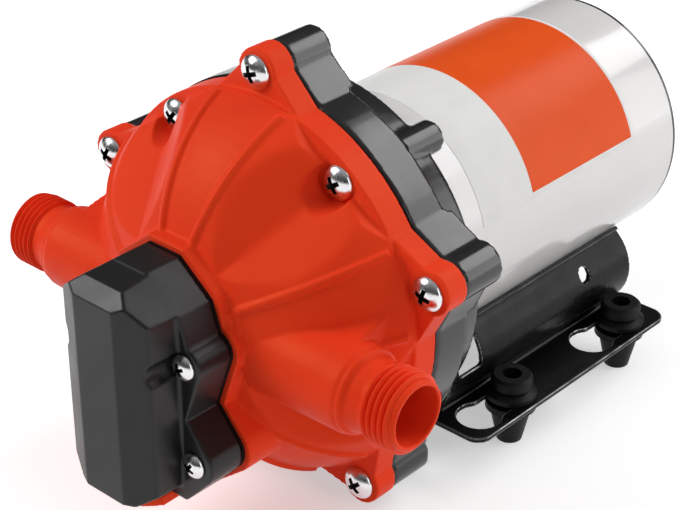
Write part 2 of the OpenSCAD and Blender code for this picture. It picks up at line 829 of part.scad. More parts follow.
module drive_housing() {
    web_low = stud_end + stud_web_setback;
    color(black) on_axis() difference() {
        union() {
            housing_ring();
            lugs(lug_r - lug_step, ring_r, lug_rear, 0);
            rod(collar_r, collar_end, 0);
            around(inner_angles, inner_circle_r) rod(stud_r, stud_end, 0);
            for (angle = inner_angles) rotate(angle)
                translate([collar_r - stud_web_overlap, -stud_r / 2, web_low])
                    cube([inner_circle_r - collar_r + stud_web_overlap, stud_r, -web_low]);
        }
        rod(valve_plate_r + seat_gap, -diaphragm_t, cut);
        rod(drive_room_r, wall_front, cut);
        rod(cam_hole_r, wall_rear - cut, 0);
        rod(can_r + seat_gap, collar_end - cut, wall_rear);
        around(chamber_angles, lug_circle_r) rod(screw_r + press_gap, -ring_len, cut);
        around(inner_angles, inner_circle_r) rod(screw_r + press_gap, stud_end + stud_floor, cut);
        around(plate_screw_angles, plate_screw_circle) rod(plate_screw_r + press_gap, wall_rear - cut, 0);
    }
}

module wobble_plate() {
    color(iron) on_axis() on_journal() difference() {
        union() {
            rod(cam_bearing_od / 2 + hub_wall, bearing_rear, hub_front);
            around(chamber_angles, chamber_circle_r) rod(boss_r, hub_front - arm_t, -diaphragm_t);
            for (angle = chamber_angles) rotate(angle) translate([0, -arm_w / 2, hub_front - arm_t])
                cube([chamber_circle_r, arm_w, arm_t]);
        }
        rod(cam_bearing_od / 2 + press_gap, bearing_rear - cut, bearing_front);
        around(chamber_angles, chamber_circle_r) rod(piston_screw_r + press_gap, hub_front - arm_t - cut, 0);
    }
}

module pistons() {
    color(black) on_axis() on_journal() around(chamber_angles, chamber_circle_r) difference() {
        union() {
            rod(piston_r, 0, piston_t);
            rod(stem_hole_r, -diaphragm_t, 0);
        }
        rod(piston_screw_r + press_gap, -diaphragm_t - cut, piston_t - piston_skin);
    }
}

module piston_screws() {
    length = boss_h + arm_t + diaphragm_t;
    color(steel) on_axis() on_journal() around(chamber_angles, chamber_circle_r)
        translate([0, 0, hub_front - arm_t]) rotate([180, 0, 0])
            pan_screw(piston_screw_r, length, piston_screw_head.x, piston_screw_head.y);
}

module cam_bearing_outer() {
    color(steel) on_axis() on_journal() race_outer(cam_bearing_od / 2, bearing_rear, bearing_front);
}

module cam_bearing_balls() {
    color(steel) on_axis() on_journal()
        race_balls(cam_bearing_od / 2, journal_r, bearing_rear, bearing_front, cam_ball_count);
}

module cam_bearing_inner() {
    color(steel) on_axis() on_journal() race_inner(journal_r + press_gap, bearing_rear, bearing_front);
}

module eccentric_cam() {
    color(iron) on_axis() difference() {
        union() {
            on_journal() rod(journal_r, bearing_rear - cam_flange_t, bearing_front - run_gap);
            on_journal() rod(journal_r + race_t - seat_gap, bearing_rear - cam_flange_t, bearing_rear);
            rod(cam_collar_r, cam_rear, bearing_rear - cam_flange_t);
        }
        rod(shaft_r + press_gap, cam_rear - cut, shaft_front);
        translate([0, 0, cam_screw_z]) rotate([-90, 0, 0])
            rod(cam_screw_r + press_gap, 0, cam_collar_r + cut);
    }
}

module cam_set_screw() {
    color(steel) on_axis() translate([0, 0, cam_screw_z]) rotate([-90, 0, 0])
        rod(cam_screw_r, shaft_r + press_gap, cam_collar_r - cam_screw_sink);
}

module motor_shaft() {
    color(steel) on_axis() rod(shaft_r, rear_bearing_rear + run_gap, shaft_front);
}

module front_bearing_outer() {
    color(steel) on_axis() race_outer(bearing_r, front_bearing_rear, front_bearing_front);
}

module front_bearing_balls() {
    color(steel) on_axis()
        race_balls(bearing_r, shaft_r + press_gap, front_bearing_rear, front_bearing_front, ball_count);
}

module front_bearing_inner() {
    color(steel) on_axis() race_inner(shaft_r + press_gap, front_bearing_rear, front_bearing_front);
}

module rear_bearing_outer() {
    color(steel) on_axis() race_outer(bearing_r, rear_bearing_rear, rear_bearing_front);
}

module rear_bearing_balls() {
    color(steel) on_axis()
        race_balls(bearing_r, shaft_r + press_gap, rear_bearing_rear, rear_bearing_front, ball_count);
}

module rear_bearing_inner() {
    color(steel) on_axis() race_inner(shaft_r + press_gap, rear_bearing_rear, rear_bearing_front);
}

module motor_front_plate() {
    color(iron) on_axis() difference() {
        union() {
            rod(bore_r - press_gap, can_front - front_plate_t, can_front);
            rod(bearing_boss_r, front_bearing_rear, can_front);
        }
        rod(bearing_r + press_gap, front_bearing_rear - cut, front_bearing_front);
        rod(bearing_r - race_t, front_bearing_front - cut, can_front + cut);
        around(plate_screw_angles, plate_screw_circle)
            rod(plate_screw_r + press_gap, can_front - front_plate_t - cut, can_front + cut);
    }
}

module motor_plate_screws() {
    color(steel) on_axis() around(plate_screw_angles, plate_screw_circle) translate([0, 0, wall_front])
        pan_screw(plate_screw_r, plate_screw_len, plate_screw_head.x, plate_screw_head.y);
}

module motor_can() {
    color(white) on_axis() difference() {
        tube(can_r, bore_r, can_rear, can_front);
        for (y = bracket_screw_y) translate([0, 0, -foot_setback - y]) rotate([90, 0, 0])
            rod(cover_screw_r + press_gap, bore_r - cut, can_r + cut);
    }
}

module field_magnets() {
    low = core_rear - magnet_over;
    color(iron) on_axis() for (middle = [0, 180]) rotate(middle - magnet_half_angle) translate([0, 0, low])
        rotate_extrude(angle = 2 * magnet_half_angle) translate([bore_r - press_gap - magnet_t, 0])
            square([magnet_t, armature_len + 2 * magnet_over]);
}

// Slots of the laminations, grown by a gap
module armature_slots(gap, low, high) {
    around([for (i = [0 : slot_count - 1]) 360 * i / slot_count], armature_r - slot_r - tooth_tip)
        rod(slot_r + gap, low, high);
}

module armature_core() {
    color(iron) on_axis() difference() {
        rod(armature_r, core_rear, core_front);
        rod(shaft_r + press_gap, core_rear - cut, core_front + cut);
        armature_slots(press_gap, core_rear - cut, core_front + cut);
        for (i = [0 : slot_count - 1]) rotate(360 * i / slot_count)
            translate([armature_r - slot_r, -slot_mouth / 2, core_rear - cut])
                cube([slot_r + cut, slot_mouth, armature_len + 2 * cut]);
    }
}

module winding_end() {
    middle = armature_r - slot_r - winding_inset;
    rotate_extrude() translate([middle, 0]) intersection() {
        circle(r = winding_over);
        translate([-winding_over, 0]) square([2 * winding_over, winding_over]);
    }
}

module armature_windings() {
    color(copper) on_axis() {
        armature_slots(0, core_rear, core_front);
        translate([0, 0, core_front]) winding_end();
        translate([0, 0, core_rear]) mirror([0, 0, 1]) winding_end();
    }
}

module commutator() {
    color(copper) on_axis() tube(commutator_r, shaft_r + press_gap, commutator_rear, commutator_front);
}

// Turns a piece that is drawn along +x to one side's brush
module at_brush(side) {
    translate([0, 0, brush_z]) rotate(side > 0 ? 0 : 180) children();
}

module brush(side) {
    color(carbon) on_axis() difference() {
        at_brush(side) translate([commutator_r, -brush_w / 2, -brush_axial / 2])
            cube([brush_back - commutator_r, brush_w, brush_axial]);
        rod(brush_tip, commutator_rear, commutator_front);
    }
}

module brush_left() {
    brush(-1);
}

module brush_right() {
    brush(1);
}

module brush_card() {
    half = [brush_w / 2 + run_gap, brush_axial / 2 + run_gap];
    color(resin) on_axis() difference() {
        union() {
            tube(bore_r - press_gap, card_hole_r, card_front - card_t, card_front);
            for (side = [-1, 1]) at_brush(side)
                translate([brush_box_inner, -half.x - brush_box_wall, -half.y - brush_box_wall])
                    cube([brush_box_outer - brush_box_inner, 2 * (half.x + brush_box_wall),
                        2 * (half.y + brush_box_wall)]);
        }
        for (side = [-1, 1]) at_brush(side) translate([0, -half.x, -half.y])
            cube([brush_back + brush_spring_len, 2 * half.x, 2 * half.y]);
        rod(card_hole_r, can_rear, commutator_front + bearing_w);
    }
}

module brush_spring(side) {
    color(steel) on_axis() at_brush(side) translate([brush_back, 0, 0]) rotate([0, 90, 0])
        coil(brush_spring_r, brush_spring_wire, brush_spring_len, brush_spring_turns);
}

module brush_spring_left() {
    brush_spring(-1);
}

module brush_spring_right() {
    brush_spring(1);
}

module rear_end_cap() {
    color(black) on_axis() difference() {
        union() {
            rod(can_r, can_rear - cap_t, can_rear);
            rod(bore_r - press_gap, can_rear, can_rear + cap_web_t);
            rod(bearing_boss_r, can_rear, rear_bearing_front);
            around([90, 270], post_circle_r) rod(post_r, can_rear, card_front - card_t);
        }
        rod(bearing_r + press_gap, rear_bearing_rear, rear_bearing_front + cut);
        translate([0, lead_y, 0])
            rod(lead_hole_r + press_gap, can_rear - cap_t - cut, can_rear + cap_web_t + bearing_w);
    }
}

module lead_grommet() {
    color(rubber) on_axis() translate([0, lead_y, 0]) difference() {
        union() {
            rod(lead_hole_r, can_rear - cap_t, can_rear + cap_web_t);
            rod(lead_hole_r + lead_lip, can_rear - cap_t - lead_lip_t, can_rear - cap_t);
        }
        rod(lead_bore_r, can_rear - cap_t - lead_lip_t - cut, can_rear + cap_web_t + cut);
    }
}

module switch_diaphragm() {
    color(rubber) on_axis() rod(switch_diaphragm_r, pad_z - counterbore_depth, plunger_z);
}

module switch_frame() {
    color(black) on_axis() difference() {
        union() {
            rod(switch_diaphragm_r, plunger_z, pad_z);
            translate([-frame_half, frame_bottom, pad_z])
                cube([2 * frame_half, frame_top - frame_bottom, frame_t]);
            for (side = [0, 1]) mirror([side, 0]) translate([leg_x, -leg_half, pad_z])
                cube([leg_w, 2 * leg_half, switch_z - pad_z]);
            translate([-leg_x - leg_w, -leg_half, bridge_z])
                cube([2 * (leg_x + leg_w), 2 * leg_half, frame_t]);
        }
        rod(leg_x, plunger_z - cut, pad_z + frame_t + cut);
        rod(stem_r + run_gap, bridge_z - cut, switch_z + cut);
    }
}

module switch_plunger() {
    color(white) on_axis() {
        rod(plunger_r, plunger_z, spring_z);
        rod(stem_r, spring_z, bridge_z + stem_over);
    }
}

module switch_spring() {
    color(steel) on_axis() translate([0, 0, spring_z])
        coil(spring_mean_r, spring_wire_r, spring_len, spring_turns);
}

module micro_switch() {
    color(iron) on_axis() difference() {
        translate([-switch_size.x / 2, switch_offset - switch_size.y / 2, switch_z]) cube(switch_size);
        rod(button_r + run_gap, switch_z - cut, button_z + button_hole);
    }
}

module switch_terminals() {
    color(brass) on_axis() for (rise = terminal_rises)
        translate([-terminal.x / 2, switch_offset - switch_size.y / 2 - terminal.y, switch_z + rise])
            cube(terminal);
}

module switch_button() {
    color(white) on_axis() rod(button_r, button_z, button_z + button_len);
}

module switch_cover() {
    color(black) on_axis() difference() {
        union() {
            translate([0, 0, cover_z]) linear_extrude(ear_depth) cover_outline(0);
            cover_body(0, 0);
        }
        translate([0, 0, -gasket_t]) cover_body(cover_wall, cover_flank);
        cover_body(cover_wall, cover_flank);
        at_cover_screws(0) rod(cover_screw_r + press_gap, cover_z - cut, ear_front + cut);
        for (side = [-1, 1]) translate([side * upper_ear.x, upper_ear.y, 0])
            rod(channel_r, ear_front, cover_front + cut);
    }
}

module cover_gasket() {
    color(rubber) on_axis() difference() {
        translate([0, 0, pad_z]) linear_extrude(gasket_t) cover_outline(0);
        translate([0, 0, -gasket_t - cut]) cover_body(cover_wall, cover_flank);
        translate([0, 0, -cut]) cover_body(cover_wall, cover_flank);
        at_cover_screws(0) rod(cover_screw_r + press_gap, pad_z - cut, cover_z + cut);
    }
}

module cover_screws() {
    color(steel) on_axis() at_cover_screws(ear_front)
        pan_screw(cover_screw_r, ear_depth + gasket_t + cover_screw_hole - tip_gap, cover_screw_head_r,
            cover_screw_head_h);
}

// Bracket's section: the saddle under the motor and the rolled wall on both sides
module bracket_section() {
    fan = 2 * can_r;
    difference() {
        union() {
            intersection() {
                translate([0, axis_h]) circle(r = can_r + saddle_gap + sheet_t, $fn = 128);
                translate([0, axis_h]) polygon([[0, 0],
                    fan * [-sin(saddle_half_angle), -cos(saddle_half_angle)],
                    fan * [sin(saddle_half_angle), -cos(saddle_half_angle)]]);
            }
            for (side = [0, 1]) mirror([side, 0]) translate([roll_x, roll_z]) intersection() {
                difference() {
                    circle(r = roll_r, $fn = 96);
                    circle(r = roll_r - sheet_t, $fn = 96);
                }
                polygon([[0, 0], fan * [cos(roll_low_angle), sin(roll_low_angle)],
                    fan * [cos(roll_top_angle), sin(roll_top_angle)]]);
            }
        }
        translate([0, axis_h]) circle(r = can_r + saddle_gap, $fn = 128);
    }
}

// Flat rectangle with rounded outer corners, seen from above
module flange_plan() {
    length = flange_len - 2 * flange_corner;
    translate([flange_inner, -flange_len / 2])
        square([flange_outer - flange_corner - flange_inner, flange_len]);
    translate([flange_inner, -length / 2]) square([flange_outer - flange_inner, length]);
    for (end = [-1, 1]) translate([flange_outer - flange_corner, end * length / 2]) circle(r = flange_corner);
}

// Opening that a foot is pushed through, with the slot that it slides along
module keyhole(y) {
    slot = groove_r + groove_gap;
    translate([foot_span_x / 2, y - key_offset]) circle(r = key_r);
    translate([foot_span_x / 2 - slot, y - key_offset]) square([2 * slot, key_offset]);
    translate([foot_span_x / 2, y]) circle(r = slot);
}

module base_bracket() {
    rear = flange_mid_y + flange_len / 2;
    wall_front_y = -foot_setback - collar_end + run_gap;
    color(black) difference() {
        union() {
            translate([0, rear, 0]) rotate([90, 0, 0]) linear_extrude(rear - wall_front_y) bracket_section();
            for (side = [0, 1]) mirror([side, 0]) translate([0, 0, flange_bottom]) linear_extrude(sheet_t)
                difference() {
                    translate([0, flange_mid_y]) flange_plan();
                    for (end = [-1, 1]) keyhole(end * foot_span_y / 2);
                }
        }
        for (side = [-1, 1]) {
            translate([side * roll_x, wall_front_y + window_from_front, flange_top + window_rise])
                translate([-roll_r / 2 + side * roll_r, 0, 0]) cube([roll_r, window_w, window_h]);
            translate([side * roll_x, eyelet_y, flange_top + eyelet_rise]) rotate([0, 90 * side, 0])
                rod(eyelet_r, 0, 2 * roll_r);
        }
        for (y = bracket_screw_y) translate([0, y, 0]) rod(cover_screw_r + press_gap, 0, axis_h);
    }
}

module bracket_screws() {
    color(steel) for (y = bracket_screw_y)
        translate([0, y, axis_h - can_r - saddle_gap - sheet_t]) rotate([180, 0, 0])
            pan_screw(cover_screw_r, bracket_screw_len, cover_screw_head_r, cover_screw_head_h);
}

// Rubber foot with a groove that holds the flange
module foot(x, y) {
    low = flange_bottom - groove_gap;
    high = flange_top + groove_gap;
    color(rubber) translate([x * foot_span_x / 2, y * foot_span_y / 2, 0]) difference() {
        rotate_extrude() polygon([[0, 0], [foot_base_r, 0],
            [foot_shoulder_r - foot_step, low - foot_lip - foot_bevel], [foot_shoulder_r, low - foot_lip],
            [foot_shoulder_r, low], [groove_r, low], [groove_r, high], [foot_shoulder_r, high],
            [foot_shoulder_r, high + foot_step], [foot_neck_r, high + foot_step + 2 * foot_bevel],
            [foot_top_r, high + foot_step + foot_lip], [foot_top_r, foot_h - foot_chamfer],
            [foot_top_r - foot_chamfer, foot_h], [0, foot_h]]);
        rod(foot_hole_r, -cut, foot_h + cut);
    }
}

module foot_front_left() {
    foot(-1, -1);
}

module foot_front_right() {
    foot(1, -1);
}

module foot_rear_left() {
    foot(-1, 1);
}

module foot_rear_right() {
    foot(1, 1);
}

pump_head();
head_screws();
inner_screws();
valve_plate();
inlet_valves();
outlet_valve();
head_seal();
outlet_seal();
diaphragm();
drive_housing();
wobble_plate();
pistons();
piston_screws();
cam_bearing_outer();
cam_bearing_balls();
cam_bearing_inner();
eccentric_cam();
cam_set_screw();
motor_shaft();
front_bearing_outer();
front_bearing_balls();
front_bearing_inner();
rear_bearing_outer();
rear_bearing_balls();
rear_bearing_inner();
motor_front_plate();
motor_plate_screws();
motor_can();
field_magnets();
armature_core();
armature_windings();
commutator();
brush_card();
brush_left();
brush_right();
brush_spring_left();
brush_spring_right();
rear_end_cap();
lead_grommet();
switch_diaphragm();
switch_frame();
switch_plunger();
switch_spring();
micro_switch();
switch_terminals();
switch_button();
switch_cover();
cover_gasket();
cover_screws();
base_bracket();
bracket_screws();
foot_front_left();
foot_front_right();
foot_rear_left();
foot_rear_right();
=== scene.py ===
"""Dresses the water pump: moulded plastics, plated screws, painted can, enamelled bracket and rubber feet.

Everything is in metres, in the frame of the solids: +Z up, the motor towards +Y and the outlet towards +X.
"""

import math

import bmesh
import bpy
from mathutils import Matrix, Vector


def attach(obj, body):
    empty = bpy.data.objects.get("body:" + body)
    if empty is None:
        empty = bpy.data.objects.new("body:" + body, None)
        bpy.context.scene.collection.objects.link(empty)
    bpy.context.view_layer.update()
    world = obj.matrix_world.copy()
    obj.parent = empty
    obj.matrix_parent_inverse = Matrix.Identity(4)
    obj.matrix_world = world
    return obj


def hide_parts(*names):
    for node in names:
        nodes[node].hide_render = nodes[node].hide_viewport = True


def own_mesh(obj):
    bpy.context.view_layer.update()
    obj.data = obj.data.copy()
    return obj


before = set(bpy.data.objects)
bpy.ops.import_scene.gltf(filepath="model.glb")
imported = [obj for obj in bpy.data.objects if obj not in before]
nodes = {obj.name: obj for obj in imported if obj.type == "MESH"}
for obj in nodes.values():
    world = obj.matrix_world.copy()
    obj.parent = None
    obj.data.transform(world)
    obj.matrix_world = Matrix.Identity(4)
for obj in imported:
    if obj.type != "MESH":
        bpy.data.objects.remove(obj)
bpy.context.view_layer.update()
MM = 0.001


def on_circle(radius, angle):
    """X and height over the pump axis of a point on a circle about it, from an angle in degrees."""
    return radius * math.cos(math.radians(angle)), radius * math.sin(math.radians(angle))


# Pump axis and stations along it
AXIS_Z = 61.5 * MM
PARTING_Y = -77.9 * MM
CHAMBERS = 5
CHAMBER_STEP = 360 / CHAMBERS
CHAMBER_ANGLES = [90 + CHAMBER_STEP * i for i in range(CHAMBERS)]
INNER_ANGLES = [54, 126, 270]
LUG_CIRCLE_R = 60 * MM
INNER_CIRCLE_R = 48.6 * MM
LUG_SEAT_Y = PARTING_Y - 7.3 * MM
INNER_SEAT_Y = PARTING_Y - 8.2 * MM
EAR_SEAT_Y = PARTING_Y - 52.3 * MM

# Screws, as X and height over the pump axis
LUG_POINTS = [on_circle(LUG_CIRCLE_R, angle) for angle in CHAMBER_ANGLES]
INNER_POINTS = [on_circle(INNER_CIRCLE_R, angle) for angle in INNER_ANGLES]
EAR_POINTS = [(side * x * MM, z * MM) for side in (-1, 1) for x, z in ((17.8, 1.9), (19.9, -26.4))]

# Regions of the head that stay crisp when its valleys are blended
RIB_ANGLE = 12
RIB_ROOM = 1.4 * MM
SEAT_ROOM_R = 28 * MM
RIM_ROOM_R = 53 * MM
SCREW_ROOM_R = 6.5 * MM
PORT_FOOT_X = 20 * MM
PORT_ROOM_R = 15 * MM
BLEND = 1.6 * MM
# A point faces the front when the Y of its normal lies below this
FRONT_NORMAL_Y = -0.1

# Ports
PORT_Y = -104 * MM
PORT_Z = 59.5 * MM
PORT_END = 70.2 * MM
THREAD_START = 59.2 * MM
THREAD_CREST_R = 10.4 * MM
THREAD_ROOT_R = 9.35 * MM
THREAD_PITCH = 1.814 * MM
# A radius inside the thread's wall, and room for its rounding
THREAD_CORE_R = 9 * MM
THREAD_SLACK = 0.2 * MM
THREAD_STEPS = 72
# Section of a ridge: along the axis in pitches, and its share of the ridge's height
RIDGE_SECTION = ((-0.46, 0), (-0.08, 1), (0.08, 1), (0.46, 0))
RIDGE_SINK = 0.25 * MM
# Where the first ridge starts, in pitches, and how much of a turn each end takes to run out
RIDGE_FIRST = 0.45
RIDGE_FADE = 0.3
RIDGE_EDGE = 0.1 * MM
RIDGE_EDGE_ANGLE = 30
RIDGE_CREASE = 50

# Motor can
CAN_R = 36.8 * MM


def linear(red, green, blue):
    """Scene colour of an sRGB colour written in 0 to 255, by the standard's own curve."""
    def channel(value):
        value /= 255
        return value / 12.92 if value <= 0.04045 else ((value + 0.055) / 1.055) ** 2.4
    return (channel(red), channel(green), channel(blue), 1)


# Materials
WHITE = (1, 1, 1, 1)
COAT_ROUGHNESS = 0.08
# Middle part of a noise, which is spread over a material's full range
NOISE_LOW, NOISE_HIGH = 0.3, 0.7
# Cells per metre of the noises, from broad marks to fine ones
FLOW_CELLS, SHEEN_CELLS, PATCH_CELLS, PAINT_CELLS, ENAMEL_CELLS, MARK_CELLS = 28, 90, 160, 380, 900, 900
# Layers of a noise, from a soft one to a rich one
SOFT_DETAIL, DETAIL, RICH_DETAIL = 2, 3, 4
# How far the sheen of a moulding strays from its roughness, and the shares of it on metal and on enamel
SHEEN_STRAY = 0.05
METAL_SHEEN = (0.7, 1.3)
ENAMEL_SHEEN = (0.7, 1.5)
# Share of the bright edges, real wear and painted highlight at once, that is left where the enamel held best
WEAR_AND_HIGHLIGHT_LEAST = 0.2
# Strength and depth of the fine relief
MOULD_GRAIN, MARK_GRAIN, ENAMEL_GRAIN, PAINT_GRAIN = 0.25, 0.2, 0.7, 0.2
MARK_DEPTH, ENAMEL_DEPTH, PAINT_DEPTH = 0.02 * MM, 0.12 * MM, 0.02 * MM


def new_material(name, colour, roughness, metallic=0.0, coat=0.0, specular=0.5, tint=WHITE):
    """A material with its shader, ready for the nodes that give it detail."""
    material = bpy.data.materials.new(name)
    material.use_nodes = True
    shader = material.node_tree.nodes["Principled BSDF"]
    shader.inputs["Base Color"].default_value = colour
    shader.inputs["Roughness"].default_value = roughness
    shader.inputs["Metallic"].default_value = metallic
    shader.inputs["Coat Weight"].default_value = coat
    shader.inputs["Coat Roughness"].default_value = COAT_ROUGHNESS
    shader.inputs["Specular IOR Level"].default_value = specular
    shader.inputs["Specular Tint"].default_value = tint
    return material, material.node_tree, shader


def noise(tree, scale, detail=DETAIL, stretch=(1, 1, 1)):
    """Noise in the object's own coordinates, in cells per metre."""
    place = tree.nodes.new("ShaderNodeTexCoord")
    mapping = tree.nodes.new("ShaderNodeMapping")
    mapping.inputs["Scale"].default_value = stretch
    texture = tree.nodes.new("ShaderNodeTexNoise")
    texture.inputs["Scale"].default_value = scale
    texture.inputs["Detail"].default_value = detail
    tree.links.new(place.outputs["Object"], mapping.inputs["Vector"])
    tree.links.new(mapping.outputs["Vector"], texture.inputs["Vector"])
    return texture.outputs["Fac"]


def spread(tree, value, low, high):
    """The middle part of a noise spread between two limits."""
    node = tree.nodes.new("ShaderNodeMapRange")
    node.inputs["From Min"].default_value = NOISE_LOW
    node.inputs["From Max"].default_value = NOISE_HIGH
    node.inputs["To Min"].default_value = low
    node.inputs["To Max"].default_value = high
    tree.links.new(value, node.inputs["Value"])
    return node.outputs["Result"]


def mix(tree, factor, first, second):
    """Colour between two colours, by a socket that runs from 0 to 1."""
    node = tree.nodes.new("ShaderNodeMix")
    node.data_type = "RGBA"
    tree.links.new(factor, node.inputs["Factor"])
    node.inputs["A"].default_value = first
    node.inputs["B"].default_value = second
    return node.outputs["Result"]


def bump(tree, shader, height, distance, strength):
    """Fine relief on a surface, its depth in metres."""
    node = tree.nodes.new("ShaderNodeBump")
    node.inputs["Distance"].default_value = distance
    node.inputs["Strength"].default_value = strength
    tree.links.new(height, node.inputs["Height"])
    tree.links.new(node.outputs["Normal"], shader.inputs["Normal"])


def moulded(name, light, dark, roughness, grain, depth, specular=0.5, tint=WHITE):
    """Moulded plastic or rubber: faint flow marks in its colour and a fine grain, in cells per metre."""
    material, tree, shader = new_material(name, light, roughness, specular=specular, tint=tint)
    flow = spread(tree, noise(tree, FLOW_CELLS, RICH_DETAIL), 0, 1)
    tree.links.new(mix(tree, flow, dark, light), shader.inputs["Base Color"])
    sheen = spread(tree, noise(tree, SHEEN_CELLS), roughness - SHEEN_STRAY, roughness + SHEEN_STRAY)
    tree.links.new(sheen, shader.inputs["Roughness"])
    bump(tree, shader, noise(tree, grain, SOFT_DETAIL), depth, MOULD_GRAIN)
    return material


def metal(name, colour, roughness, stretch=(1, 1, 1)):
    """Bare or plated metal with fine tool marks."""
    material, tree, shader = new_material(name, colour, roughness, metallic=1.0)
    marks = noise(tree, MARK_CELLS, stretch=stretch)
    sheen = spread(tree, marks, *(roughness * share for share in METAL_SHEEN))
    tree.links.new(sheen, shader.inputs["Roughness"])
    bump(tree, shader, marks, MARK_DEPTH, MARK_GRAIN)
    return material


def enamelled(name, colour, bright_edge, roughness, highlight_wear_from, highlight_wear_to):
    """Gloss enamel on steel sheet, bright along its edges: partly wear to bare metal, partly a painted
    highlight where the edges catch the light.
    """
    material, tree, shader = new_material(name, colour, roughness, coat=0.05, specular=0.12)
    geometry = tree.nodes.new("ShaderNodeNewGeometry")
    edge = tree.nodes.new("ShaderNodeMapRange")
    edge.inputs["From Min"].default_value = highlight_wear_from
    edge.inputs["From Max"].default_value = highlight_wear_to
    tree.links.new(geometry.outputs["Pointiness"], edge.inputs["Value"])
    patchy = tree.nodes.new("ShaderNodeMath")
    patchy.operation = "MULTIPLY"
    tree.links.new(edge.outputs["Result"], patchy.inputs[0])
    tree.links.new(spread(tree, noise(tree, PATCH_CELLS, RICH_DETAIL), WEAR_AND_HIGHLIGHT_LEAST, 1), patchy.inputs[1])
    # Mask of the bright edges: bare steel where the enamel wore off, and a painted highlight along the edges
    wear_and_highlight = patchy.outputs["Value"]
    tree.links.new(mix(tree, wear_and_highlight, colour, bright_edge), shader.inputs["Base Color"])
    tree.links.new(wear_and_highlight, shader.inputs["Metallic"])
    sheen = spread(tree, noise(tree, SHEEN_CELLS), *(roughness * share for share in ENAMEL_SHEEN))
    tree.links.new(sheen, shader.inputs["Roughness"])
    bump(tree, shader, noise(tree, ENAMEL_CELLS), ENAMEL_DEPTH, ENAMEL_GRAIN)
    return material


def gloss_paint(name, colour, light, dark):
    """Gloss paint on drawn steel, with faint clouds in its colour."""
    material, tree, shader = new_material(name, colour, roughness=0.22, coat=0.5)
    clouds = spread(tree, noise(tree, FLOW_CELLS), 0, 1)
    tree.links.new(mix(tree, clouds, dark, light), shader.inputs["Base Color"])
    bump(tree, shader, noise(tree, PAINT_CELLS, SOFT_DETAIL), PAINT_DEPTH, PAINT_GRAIN)
    return material


def film(name, colour, shade):
    """Glossy printed film."""
    material, tree, shader = new_material(name, colour, roughness=0.32, specular=0.1)
    clouds = spread(tree, noise(tree, SHEEN_CELLS), 0, 1)
    tree.links.new(mix(tree, clouds, shade, colour), shader.inputs["Base Color"])
    bump(tree, shader, noise(tree, PAINT_CELLS, SOFT_DETAIL), PAINT_DEPTH, PAINT_GRAIN)
    return material


orange = moulded("orange_moulding", linear(243, 67, 34), linear(237, 60, 30), roughness=0.46, grain=2600,
                 depth=0.04 * MM, specular=0.2, tint=linear(255, 170, 70))
black = moulded("black_moulding", linear(25, 23, 24), linear(20, 18, 19), roughness=0.2, grain=2400,
                depth=0.03 * MM, specular=0.6)
cover_black = moulded("cover_moulding", linear(27, 26, 27), linear(23, 22, 23), roughness=0.36, grain=2000,
                      depth=0.05 * MM, specular=0.32)
rubber = moulded("foot_rubber", linear(16, 15, 15), linear(12, 11, 11), roughness=0.5, grain=1500,
                 depth=0.06 * MM, specular=0.18)
white_plastic = moulded("white_moulding", linear(232, 230, 226), linear(224, 221, 216), roughness=0.4,
                        grain=2200, depth=0.03 * MM)
resin = moulded("card_resin", linear(150, 92, 56), linear(128, 76, 44), roughness=0.5, grain=1800,
                depth=0.05 * MM)
carbon = moulded("brush_carbon", linear(48, 48, 52), linear(36, 36, 40), roughness=0.6, grain=3000,
                 depth=0.05 * MM)
chrome = metal("screw_plating", linear(222, 222, 224), roughness=0.22)
# Painted shade: a dark colour for the faces inside the screws' cross recesses, where shade falls
recess_shade = metal("screw_recess_shade", linear(38, 37, 38), roughness=0.5)
steel = metal("ground_steel", linear(200, 201, 205), roughness=0.3, stretch=(1, 12, 1))
iron = metal("dark_iron", linear(104, 104, 110), roughness=0.45)
aluminium = metal("die_cast", linear(196, 197, 202), roughness=0.4)
copper = metal("enamelled_copper", linear(202, 122, 66), roughness=0.28, stretch=(1, 1, 14))
brass = metal("stamped_brass", linear(206, 170, 92), roughness=0.3)
# The light grey of the edges is partly bare steel and partly a painted highlight
enamel = enamelled("bracket_enamel", linear(14, 13, 14), linear(214, 214, 216), roughness=0.24,
                   highlight_wear_from=0.53, highlight_wear_to=0.56)
can_paint = gloss_paint("can_paint", linear(227, 225, 224), linear(230, 228, 227), linear(224, 222, 221))
label_white = film("label_white", linear(236, 235, 233), linear(230, 229, 227))
label_orange = film("label_orange", linear(238, 88, 28), linear(234, 83, 25))

NODE_MATERIALS = {
    orange: ["pump_head"],
    black: ["drive_housing", "valve_plate", "pistons", "switch_frame", "rear_end_cap", "micro_switch"],
    cover_black: ["switch_cover"],
    rubber: ["inlet_valves", "outlet_valve", "head_seal", "outlet_seal", "diaphragm", "lead_grommet",
             "switch_diaphragm", "cover_gasket", "foot_front_left", "foot_front_right", "foot_rear_left",
             "foot_rear_right"],
    chrome: ["head_screws", "inner_screws", "piston_screws", "cam_set_screw", "motor_plate_screws",
             "cover_screws", "bracket_screws"],
    steel: ["cam_bearing_outer", "cam_bearing_balls", "cam_bearing_inner", "motor_shaft",
            "front_bearing_outer", "front_bearing_balls", "front_bearing_inner", "rear_bearing_outer",
            "rear_bearing_balls", "rear_bearing_inner", "brush_spring_left", "brush_spring_right",
            "switch_spring"],
    iron: ["eccentric_cam", "motor_front_plate", "field_magnets", "armature_core"],
    aluminium: ["wobble_plate"],
    can_paint: ["motor_can"],
    copper: ["armature_windings", "commutator"],
    brass: ["switch_terminals"],
    carbon: ["brush_left", "brush_right"],
    resin: ["brush_card"],
    white_plastic: ["switch_plunger", "switch_button"],
    enamel: ["base_bracket"],
}
for material, names in NODE_MATERIALS.items():
    for name in names:
        for place in nodes[name].material_slots:
            place.material = material


# Mesh tools
SMOOTH_FACTOR = 0.5
# Distances at which points of the solids' meshes and of meshes made here are joined
WELD = 0.002 * MM
POINT_WELD = 0.0001 * MM
EDGE_SEGMENTS = 2
SQUARE = ((-1, -1), (1, -1), (1, 1), (-1, 1))


